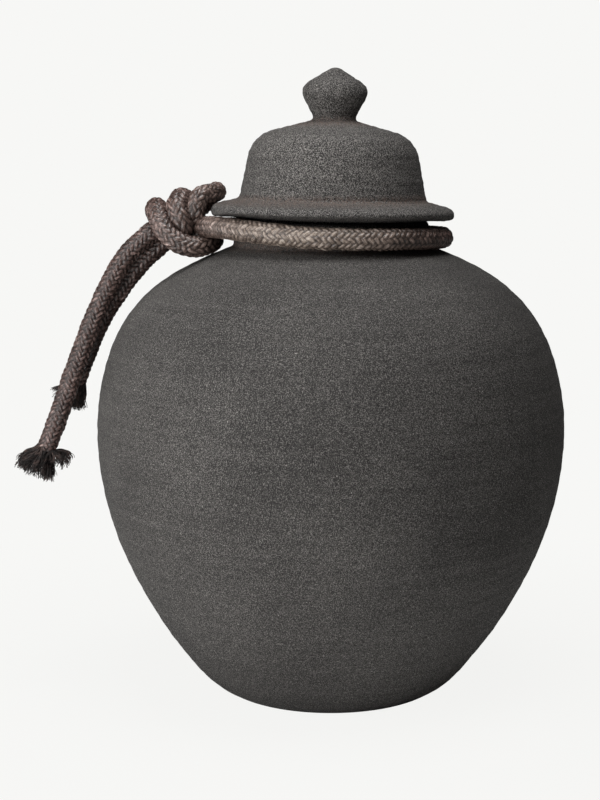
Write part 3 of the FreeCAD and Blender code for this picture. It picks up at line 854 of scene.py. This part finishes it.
class Finish:
    """A new material or world, and the nodes in it."""

    def __init__(self, name, family="materials"):
        self.owner = getattr(bpy.data, family).new(name)
        self.owner.use_nodes = True
        self.tree = self.owner.node_tree
        self.tree.nodes.clear()

    def add(self, kind, settings=None, sockets=None, output=0):
        """A node with its settings, its sockets' values or links, and the output to go on from."""
        node = self.tree.nodes.new("ShaderNode" + kind)
        for name, value in (settings or {}).items():
            if name == "stops":
                self.set_stops(node.color_ramp, value)
            else:
                setattr(node, name, value)
        for name, value in (sockets or {}).items():
            if isinstance(value, Wire):
                self.tree.links.new(value.socket, node.inputs[name])
            else:
                node.inputs[name].default_value = value
        return Wire(self, node.outputs[output]) if node.outputs else None

    def set_stops(self, ramp, stops):
        """The ramp has its two ends already, so only the stops between them are new."""
        for position, _ in stops[1:-1]:
            ramp.elements.new(position)
        for element, (position, colour) in zip(ramp.elements, stops):
            element.position = position
            element.color = (*colour, 1)

    def ramp(self, factor, stops):
        return self.add("ValToRGB", {"stops": stops}, {"Fac": factor})

    def steps(self, value, low, high):
        """0 below the low value, 1 above the high one, and smooth between them."""
        settings = {"interpolation_type": "SMOOTHSTEP"}
        return self.add("MapRange", settings, {"Value": value, "From Min": low, "From Max": high})

    def grain(self, place, scale, detail=2.0, roughness=0.5):
        sockets = {"Vector": place, "Scale": scale, "Detail": detail, "Roughness": roughness}
        return self.add("TexNoise", None, sockets)

    def mix(self, factor, one, two):
        sockets = {0: factor, 6: one, 7: two}
        return self.add("Mix", {"data_type": "RGBA"}, sockets, output=2)

    def done(self, shader, output="OutputMaterial"):
        self.add(output, None, {"Surface": shader})
        print(f"{self.owner.name}: {len(self.tree.nodes)} nodes")
        return self.owner


def dress(piece, material):
    piece.data.materials.clear()
    piece.data.materials.append(material)


# %% [markdown]
# ## Fired clay
# Stoneware that is fired without a glaze is matt and dark, and the sand in it shows. Four things
# make it: a fine grain of light and dark specks at about half a millimetre, sparse pale grains of
# grog that are a little larger, slow clouds where the fire was hotter, and faint level bands from
# the wheel. The grain is also felt, so the same noise raises the surface through a bump. The sand
# shows more on the lid, so it gets the same clay with a stronger grain and more grog. The clay is
# a little redder where the urn's neck meets the shoulder, and in the lid's two creases.

# %% The clay
CLAY = [
    (0.0, (0.015, 0.014, 0.0135)),
    (0.3, (0.038, 0.0355, 0.034)),
    (0.52, (0.064, 0.0605, 0.058)),
    (0.75, (0.116, 0.109, 0.103)),
    (1.0, (0.235, 0.222, 0.21)),
]
REDDER_CLAY = (0.15, 0.104, 0.084, 1)
PALE_GROG = (0.4, 0.38, 0.35, 1)


def fired_clay(name, shade, strength, grog, tint_heights):
    """Clay with its lightness, its grain's contrast, its share of pale grains, and the heights
    in millimetres at which it is a little redder."""
    finish = Finish(name)
    place = finish.add("TexCoord", None, None, "Object")
    fine = finish.grain(place, 2300, 1, 0.6)
    middle = finish.grain(place, 900, 3, 0.65)
    cloud = finish.grain(place, 18, 3, 0.55)
    stretched = finish.add("VectorMath", {"operation": "MULTIPLY"}, {0: place, 1: (9, 9, 330)})
    bands = finish.grain(stretched, 1.0, 2, 0.6)
    tone = (fine - 0.5) * (2.6 * strength) + (middle - 0.5) * (0.45 * strength)
    tone = tone + (cloud - 0.5) * 0.35 + (bands - 0.5) * 0.25 + 0.5
    shaded = [(at, tuple(shade * value for value in colour)) for at, colour in CLAY]
    clay = finish.ramp(tone, shaded)
    upright = finish.add("SeparateXYZ", None, {"Vector": place}, "Z")
    red_mask = 0.0
    for height in tint_heights:
        away = (upright - height * MM).math("ABSOLUTE")
        red_mask = finish.steps(away, 3.5 * MM, 0.5 * MM) + red_mask
    red_mask = red_mask * finish.steps(middle, 0.38, 0.6) * 0.6
    clay = finish.mix(red_mask, clay, REDDER_CLAY)
    small = finish.grain(place, 1900, 1, 0.5) + (cloud - 0.5) * 0.25
    large = finish.grain(place, 1000, 1, 0.5) + (cloud - 0.5) * 0.15
    pale = finish.steps(small, 0.7, 0.78) * (0.4 + grog * 5)
    pale = pale + finish.steps(large, 0.79 - grog, 0.85 - grog)
    clay = finish.mix(pale.math("MINIMUM", 0.85), clay, PALE_GROG)
    relief = fine * 0.5 + middle * 0.5 + pale * 0.3
    bump = finish.add("Bump", None, {"Height": relief, "Strength": 0.9, "Distance": 0.35 * MM})
    surface = finish.add(
        "BsdfPrincipled",
        None,
        {
            "Base Color": clay,
            "Roughness": (fine - 0.5) * 0.2 + 0.82,
            "Normal": bump,
            "Specular IOR Level": 0.3,
        },
    )
    return finish.done(surface)


NECK_FOOT = 214
BRIM_CREASE = lid_seat * 1000 + 8.5
KNOB_CREASE = BRIM_CREASE + 36

urn_finish = fired_clay("fired_clay", 0.88, 1.1, 0.04, [NECK_FOOT])
lid_finish = fired_clay("fired_clay_lid", 1.07, 1.7, 0.065, [BRIM_CREASE, KNOB_CREASE])
dress(urn_clay, urn_finish)
dress(lid_clay, lid_finish)

# %% [markdown]
# ## Waxed braid
# The cord is dyed dark brown and waxed. The crowns of its pads shine a little and get a painted
# highlight, and the grooves get a painted shade that is nearly black. Each strand is made of fine
# threads that run along it. The two counts that shaped the braid were kept as texture coordinates,
# so the shader can work out the same pads and lay the threads along each strand. Each pad also
# gets a chance of its own, so that no two are equally light. A quick noise adds fluff, and a slow
# one adds dust.
# A tan sheen is painted on the front of the neck, where the light falls most.

# %% Where a spot lies in the braid


def place_in_braid(finish):
    """The pad's height at a spot, the way across and along it, and a chance for the whole pad."""
    counts = finish.add("UVMap", {"uv_map": "strands"})
    left = finish.add("SeparateXYZ", None, {"Vector": counts}, "X")
    right = finish.add("SeparateXYZ", None, {"Vector": counts}, "Y")
    left_cell = (left + 0.5).math("FLOOR")
    right_cell = (right + 0.5).math("FLOOR")
    step = (left_cell + right_cell).math("FLOORED_MODULO", 4.0)
    over = finish.steps(step, 1.6, 1.4)
    second_half = step.math("FLOORED_MODULO", 2.0)
    left_off = left - left_cell
    right_off = right - right_cell
    crosswise = right_off + (left_off - right_off) * over
    lengthwise = (left_off + (right_off - left_off) * over - 0.5 + second_half) * 0.5
    across_pad = 1 - (crosswise * 2) ** 2.0
    pad = across_pad * (1 - (lengthwise * 2).math("ABSOLUTE") ** 3.0)
    strand = right_cell + (left_cell - right_cell) * over
    crossing = left_cell + (right_cell - left_cell) * over - second_half - strand
    strand = strand.math("FLOORED_MODULO", float(STRANDS)) + over * 20
    cell = finish.add("CombineXYZ", None, {"X": strand, "Y": crossing})
    chance = finish.add("TexWhiteNoise", {"noise_dimensions": "2D"}, {"Vector": cell}, "Value")
    return pad, crosswise, lengthwise, chance


# %% The cord's finish
# From the painted shade in the grooves, through the wax's own dark brown, to the painted highlight
# on the crowns.
WAX_SHADE_TO_SHINE = [
    (0.0, (0.016, 0.01, 0.009)),
    (0.3, (0.05, 0.029, 0.024)),
    (0.6, (0.175, 0.112, 0.098)),
    (1.0, (0.78, 0.58, 0.53)),
]
# The painted sheen: a tan for the lit front of the neck, from shade to highlight.
SHEEN_TAN = [
    (0.0, (0.04, 0.028, 0.023)),
    (0.3, (0.17, 0.13, 0.105)),
    (0.6, (0.42, 0.345, 0.285)),
    (1.0, (0.85, 0.76, 0.68)),
]


def waxed_braid(name):
    finish = Finish(name)
    pad, crosswise, lengthwise, chance = place_in_braid(finish)
    in_yarn = {"X": crosswise * 5.5, "Y": lengthwise * 1.4, "Z": chance * 40}
    yarn_place = finish.add("CombineXYZ", None, in_yarn)
    threads = finish.grain(yarn_place, 1.0, 2, 0.65)
    place = finish.add("TexCoord", None, None, "Object")
    dust = finish.grain(place, 90, 3, 0.6)
    fluff = finish.grain(place, 1100, 2, 0.6)
    # Where this is high, the tan of the painted sheen is mixed in.
    wear = finish.add("Attribute", {"attribute_name": "wear"}, None, "Fac")
    # The pad's height paints the crowns lighter, a painted highlight, and the grooves darker, a
    # painted shade.
    tone = pad**0.4 * 0.48 + (threads - 0.5) * 1.1 + (fluff - 0.5) * 0.7
    tone = tone + (chance - 0.5) * 0.22 + (dust - 0.5) * 0.6
    colour = finish.mix(wear, finish.ramp(tone, WAX_SHADE_TO_SHINE), finish.ramp(tone, SHEEN_TAN))
    relief = threads * 0.6 + fluff * 0.4
    bump = finish.add("Bump", None, {"Height": relief, "Strength": 0.8, "Distance": 0.22 * MM})
    surface = finish.add(
        "BsdfPrincipled",
        None,
        {
            "Base Color": colour,
            "Roughness": 0.47 - pad * 0.17 + (threads - 0.5) * 0.3,
            "Normal": bump,
            "Specular IOR Level": 0.7,
        },
    )
    return finish.done(surface)


# %% Paint the sheen and dress the cord
# Where the painted sheen is full, and how far it fades.
SHEEN_CENTRE = np.array([-16, -52, 219]) * MM
SHEEN_REACH = 46 * MM


def paint_sheen(piece):
    """Marks the painted sheen, a lit tan: wholly at one place, and less away from it."""
    away = np.linalg.norm(read_places(piece) - SHEEN_CENTRE, axis=1)
    sheened = np.exp(-((away / SHEEN_REACH) ** 2))
    attribute = piece.data.attributes.new("wear", "FLOAT", "POINT")
    attribute.data.foreach_set("value", sheened.astype(np.float32))
    print(f"{piece.name}: worn by {sheened.mean():.2f} on average")


cord_finish = waxed_braid("waxed_braid")
for piece in (neck_cord, knot_cord, long_tail_cord, short_tail_cord):
    paint_sheen(piece)
    dress(piece, cord_finish)

# %% [markdown]
# ## Loose threads
# The threads from inside the cord are darker than the braid, whose pads carry a painted highlight,
# and only a few have picked up the brown of the wax.

# %% The brush's finish
INSIDE_THREADS = [
    (0.0, (0.01, 0.008, 0.008)),
    (0.48, (0.026, 0.021, 0.02)),
    (0.64, (0.075, 0.05, 0.043)),
    (1.0, (0.2, 0.125, 0.105)),
]


def loose_threads(name):
    finish = Finish(name)
    place = finish.add("TexCoord", None, None, "Object")
    patch = finish.grain(place, 330, 2, 0.6)
    surface = finish.add(
        "BsdfPrincipled",
        None,
        {
            "Base Color": finish.ramp(patch, INSIDE_THREADS),
            "Roughness": patch * 0.3 + 0.45,
            "Specular IOR Level": 0.4,
        },
    )
    return finish.done(surface)


thread_finish = loose_threads("loose_threads")
for piece in (long_brush, short_brush):
    dress(piece, thread_finish)

# %% [markdown]
# ## A white table
# The urn stands on a table so bright that it can't be told from the wall behind. Lighting a floor
# until it turns white would spoil the urn's own colours. Instead the camera is shown a plain
# white, and every other ray meets an ordinary pale floor, which throws light back up under the
# belly. Close to the foot some of the lit floor shows, and it keeps the soft shadow. The floor
# gets darker toward the right, because the photograph's urn is nearly black on that side: little
# light comes back from there.

# %% The floor
WHITE = (0.93, 0.93, 0.915, 1)
LEFT_FLOOR = (0.85, 0.85, 0.84, 1)
RIGHT_FLOOR = (0.4, 0.4, 0.39, 1)
FLOOR_REACH = 3


def pale_floor(name):
    finish = Finish(name)
    place = finish.add("TexCoord", None, None, "Object")
    away = finish.add("VectorMath", {"operation": "LENGTH"}, {0: place}, "Value")
    to_the_right = finish.add("SeparateXYZ", None, {"Vector": place}, "X")
    seen = finish.add("LightPath", None, None, "Is Camera Ray")
    plain = finish.steps(away, 0.08, 0.35) * 0.05 + 0.95
    pale = finish.mix(finish.steps(to_the_right, 0.0, 0.3), LEFT_FLOOR, RIGHT_FLOOR)
    lit = finish.add("BsdfDiffuse", None, {"Color": pale})
    shown = finish.add("Emission", None, {"Color": WHITE, "Strength": 1.0})
    return finish.done(finish.add("MixShader", None, {0: seen * plain, 1: lit, 2: shown}))


corners = [(FLOOR_REACH * x, FLOOR_REACH * y, 0) for x, y in ((-1, -1), (1, -1), (1, 1), (-1, 1))]
floor_mesh = bpy.data.meshes.new("floor")
floor_mesh.from_pydata(corners, [], [(0, 1, 2, 3)])
floor = bpy.data.objects.new("floor", floor_mesh)
scene_collection.objects.link(floor)
floor.data.materials.append(pale_floor("pale_floor"))

# %% The room
room = Finish("white_room", "worlds")
seen = room.add("LightPath", None, None, "Is Camera Ray")
dim = room.add("Background", None, {"Color": (1, 1, 1, 1), "Strength": 0.03})
bright = room.add("Background", None, {"Color": WHITE, "Strength": 1.0})
chosen = room.add("MixShader", None, {0: seen, 1: dim, 2: bright})
bpy.context.scene.world = room.done(chosen, "OutputWorld")
bpy.context.scene.view_settings.view_transform = "Standard"

# %% [markdown]
# ## Light from the left and from above
# The urn's left flank is bright from top to bottom, its shoulder is bright all round, and its
# right side is almost black. Under the brim the cord is lit nearly to its top, so the main light
# comes in under the brim, like that of a window in front on the left. A large lamp overhead
# lights the shoulder, with a weak one high in front beside it. A low one on the left edges the
# flank, and a small card low on the left stands for the bright table's edge. Their level is one
# at which a colour shows about as it is written.

# %% Lamps
MIDDLE_OF_URN = (0, 0, 0.15)
LAMPS = [
    ("left_window", (-0.81, -0.81, 0.76), 0.7, 6.8),
    ("left_low_lamp", (-1.26, -0.22, 0.38), 0.7, 2.3),
    ("top_lamp", (0.08, -0.25, 1.43), 0.7, 11.5),
    ("front_lamp", (0.22, -0.61, 1.28), 0.7, 1.4),
    ("table_card", (-0.35, -0.5, 0.03), 0.3, 1.6),
]
for name, place, size, watts in LAMPS:
    lamp = bpy.data.lights.new(name, "AREA")
    lamp.size = size
    lamp.energy = watts
    put(name, lamp, place, MIDDLE_OF_URN)
    print(f"{name}: {watts} watts at {place}")

# %% [markdown]
# ## What moves with what
# Nothing on this urn moves by itself, so every piece rides on the one body. Each new piece stands
# for one CAD solid, which is hidden. For the cord a path is read from its line along three
# stretches: once round the neck from the knot and back to it, and two tails that hang from the
# knot to their frayed ends.

# %% Ride and replace, and read the cord's paths
STANDS_FOR = {
    "urn_body": urn_clay,
    "lid": lid_clay,
    "neck_rope": neck_cord,
    "rope_knot": knot_cord,
    "long_tail": long_tail_cord,
    "short_tail": short_tail_cord,
    "long_tail_fray": long_brush,
    "short_tail_fray": short_brush,
}
for node, piece in STANDS_FOR.items():
    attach(piece, "root")
    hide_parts(node)


def declare(stretch, backwards=False):
    """The path starts at the knot, so a stretch whose line ends there is read backwards."""
    first, last = STRETCHES[stretch]
    path = line[first : last + 1 : 4]
    if backwards:
        path = path[::-1]


declare("neck")
declare("long_tail")
declare("short_tail", backwards=True)
